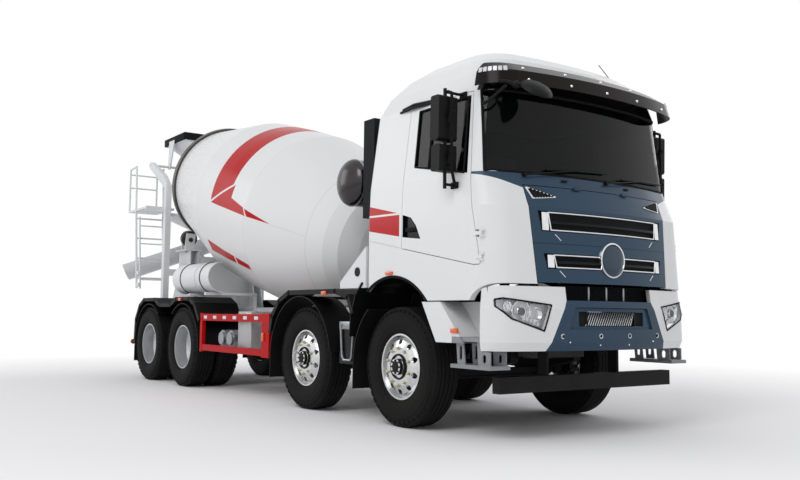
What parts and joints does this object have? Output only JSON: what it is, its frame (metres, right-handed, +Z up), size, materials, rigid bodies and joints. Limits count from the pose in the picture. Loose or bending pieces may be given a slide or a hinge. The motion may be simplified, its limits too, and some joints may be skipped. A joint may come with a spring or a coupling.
{
  "type": "concrete mixer truck",
  "caption": "Forward-control truck that mixes and carries fresh concrete in a turning inclined drum and pours it from a swinging rear chute.",
  "frame": {"origin": "on the ground, below the middle of the whole truck's length and width", "axes": "+X forward, +Y to the driver's left, +Z up"},
  "size_m": [9.7787, 2.9, 3.98],
  "materials": {
    "black_plastic": "grained",
    "blue_grey_paint": "satin metallic",
    "chassis_black": "satin",
    "clear_glass": "tinted",
    "engine_grey": "painted casting",
    "interior_trim": "grained",
    "lamp_clear": "clear",
    "red_paint": "gloss",
    "ring_steel": "machined and greased",
    "seat_cloth": "woven",
    "tank_alloy": "rolled sheet",
    "tank_steel": "polished",
    "tyre_rubber": "matte",
    "wheel_alloy": "polished",
    "wheel_silver": "satin",
    "white_paint": "gloss"
  },
  "bodies": {
    "chassis": {"frame_rails": "chassis_black", "axles": "chassis_black", "leaf_springs": "chassis_black", "powertrain": "engine_grey", "bumper": "white_paint", "headlamps": "lamp_clear", "underrun_beam": "chassis_black", "entry_steps": "black_plastic", "mudguards": "black_plastic", "side_guards": "red_paint", "air_tanks": "tank_alloy", "side_boxes": "black_plastic", "tow_coupling": "chassis_black", "mixer_frame": "white_paint", "drum_gearbox": "engine_grey", "water_tank": "tank_steel", "discharge_funnel": "white_paint", "platform_ladder": "white_paint", "spare_chutes": "white_paint"},
    "knuckle_1_left": {"front_knuckle_1_left": "chassis_black"},
    "wheel_1_left": {"front_tyre_1_left": "tyre_rubber", "front_rim_1_left": "wheel_alloy"},
    "knuckle_1_right": {"front_knuckle_1_right": "chassis_black"},
    "wheel_1_right": {"front_tyre_1_right": "tyre_rubber", "front_rim_1_right": "wheel_alloy"},
    "knuckle_2_left": {"front_knuckle_2_left": "chassis_black"},
    "wheel_2_left": {"front_tyre_2_left": "tyre_rubber", "front_rim_2_left": "wheel_alloy"},
    "knuckle_2_right": {"front_knuckle_2_right": "chassis_black"},
    "wheel_2_right": {"front_tyre_2_right": "tyre_rubber", "front_rim_2_right": "wheel_alloy"},
    "wheels_3_left": {"rear_tyres_3_left": "tyre_rubber", "rear_rims_3_left": "wheel_silver"},
    "wheels_3_right": {"rear_tyres_3_right": "tyre_rubber", "rear_rims_3_right": "wheel_silver"},
    "wheels_4_left": {"rear_tyres_4_left": "tyre_rubber", "rear_rims_4_left": "wheel_silver"},
    "wheels_4_right": {"rear_tyres_4_right": "tyre_rubber", "rear_rims_4_right": "wheel_silver"},
    "drum": {"drum_shell": "white_paint", "drum_ring": "ring_steel"},
    "roller_left": {"roller_left": "ring_steel"},
    "roller_right": {"roller_right": "ring_steel"},
    "hopper": {"charging_hopper": "white_paint"},
    "chute_swivel": {"chute_swivel": "white_paint"},
    "chute": {"main_chute": "white_paint"},
    "ladder_lower": {"ladder_lower": "white_paint"},
    "cab": {"cab_shell": "white_paint", "cab_glass": "clear_glass", "sun_visor": "black_plastic", "dashboard": "interior_trim", "seats": "seat_cloth", "air_intake": "black_plastic"},
    "front_lid": {"front_panel": "blue_grey_paint"},
    "door_left": {"door_left": "white_paint", "door_glass_left": "clear_glass", "mirror_left": "black_plastic"},
    "door_right": {"door_right": "white_paint", "door_glass_right": "clear_glass", "mirror_right": "black_plastic"}
  },
  "joints": [
    {"name": "steer_1_left", "type": "hinge", "parent": "chassis", "child": "knuckle_1_left", "pos_m": [3.3593, 0.865, 0.542], "axis": [0, 0, 1], "range_deg": [-38, 38]},
    {"name": "spin_1_left", "type": "hinge", "parent": "knuckle_1_left", "child": "wheel_1_left", "pos_m": [3.3593, 1.02, 0.542], "axis": [0, 1, 0], "continuous": true},
    {"name": "steer_1_right", "type": "hinge", "parent": "chassis", "child": "knuckle_1_right", "pos_m": [3.3593, -0.865, 0.542], "axis": [0, 0, 1], "range_deg": [-38, 38]},
    {"name": "spin_1_right", "type": "hinge", "parent": "knuckle_1_right", "child": "wheel_1_right", "pos_m": [3.3593, -1.02, 0.542], "axis": [0, 1, 0], "continuous": true},
    {"name": "steer_2_left", "type": "hinge", "parent": "chassis", "child": "knuckle_2_left", "pos_m": [1.6093, 0.865, 0.542], "axis": [0, 0, 1], "range_deg": [-26.6, 26.6]},
    {"name": "spin_2_left", "type": "hinge", "parent": "knuckle_2_left", "child": "wheel_2_left", "pos_m": [1.6093, 1.02, 0.542], "axis": [0, 1, 0], "continuous": true},
    {"name": "steer_2_right", "type": "hinge", "parent": "chassis", "child": "knuckle_2_right", "pos_m": [1.6093, -0.865, 0.542], "axis": [0, 0, 1], "range_deg": [-26.6, 26.6]},
    {"name": "spin_2_right", "type": "hinge", "parent": "knuckle_2_right", "child": "wheel_2_right", "pos_m": [1.6093, -1.02, 0.542], "axis": [0, 1, 0], "continuous": true},
    {"name": "spin_3_left", "type": "hinge", "parent": "chassis", "child": "wheels_3_left", "pos_m": [-1.7407, 0.925, 0.542], "axis": [0, 1, 0], "continuous": true},
    {"name": "spin_3_right", "type": "hinge", "parent": "chassis", "child": "wheels_3_right", "pos_m": [-1.7407, -0.925, 0.542], "axis": [0, 1, 0], "continuous": true},
    {"name": "spin_4_left", "type": "hinge", "parent": "chassis", "child": "wheels_4_left", "pos_m": [-3.0907, 0.925, 0.542], "axis": [0, 1, 0], "continuous": true},
    {"name": "spin_4_right", "type": "hinge", "parent": "chassis", "child": "wheels_4_right", "pos_m": [-3.0907, -0.925, 0.542], "axis": [0, 1, 0], "continuous": true},
    {"name": "drum_spin", "type": "hinge", "parent": "chassis", "child": "drum", "pos_m": [1.7593, 0, 1.714], "axis": [-0.9636, 0, 0.2672], "continuous": true},
    {"name": "roller_spin_left", "type": "hinge", "parent": "chassis", "child": "roller_left", "pos_m": [-3.29847, 0.56028, 2.18616], "axis": [-0.9636, 0, 0.2672], "continuous": true},
    {"name": "roller_spin_right", "type": "hinge", "parent": "chassis", "child": "roller_right", "pos_m": [-3.29847, -0.56028, 2.18616], "axis": [-0.9636, 0, 0.2672], "continuous": true},
    {"name": "hopper_tilt", "type": "hinge", "parent": "chassis", "child": "hopper", "pos_m": [-4.3407, 0, 3.48], "axis": [0, -1, 0], "range_deg": [0, 70]},
    {"name": "chute_swing", "type": "hinge", "parent": "chassis", "child": "chute_swivel", "pos_m": [-4.0907, 0, 1.65], "axis": [0, 0, 1], "range_deg": [-126, 0]},
    {"name": "chute_lift", "type": "hinge", "parent": "chute_swivel", "child": "chute", "pos_m": [-4.0907, 0, 1.92], "axis": [-0.891, 0.454, 0], "range_deg": [-15, 20]},
    {"name": "ladder_slide", "type": "slide", "parent": "chassis", "child": "ladder_lower", "axis": [0.1146, 0, -0.9934], "range_m": [0, 0.85]},
    {"name": "cab_tilt", "type": "hinge", "parent": "chassis", "child": "cab", "pos_m": [4.6993, 0, 0.97], "axis": [0, 1, 0], "range_deg": [0, 50]},
    {"name": "front_lid", "type": "hinge", "parent": "cab", "child": "front_lid", "pos_m": [4.7493, 0, 2.083], "axis": [0, -1, 0], "range_deg": [0, 60]},
    {"name": "door_left", "type": "hinge", "parent": "cab", "child": "door_left", "pos_m": [4.5643, 1.222, 1.8], "axis": [0, 0, -1], "range_deg": [0, 65]},
    {"name": "door_right", "type": "hinge", "parent": "cab", "child": "door_right", "pos_m": [4.5643, -1.222, 1.8], "axis": [0, 0, 1], "range_deg": [0, 65]}
  ],
  "couplings": [
    {"joint": "steer_1_right", "follows": "steer_1_left", "ratio": 1},
    {"joint": "steer_2_left", "follows": "steer_1_left", "ratio": 0.7},
    {"joint": "steer_2_right", "follows": "steer_1_left", "ratio": 0.7},
    {"joint": "roller_spin_left", "follows": "drum_spin", "ratio": -7.456},
    {"joint": "roller_spin_right", "follows": "drum_spin", "ratio": -7.456}
  ]
}
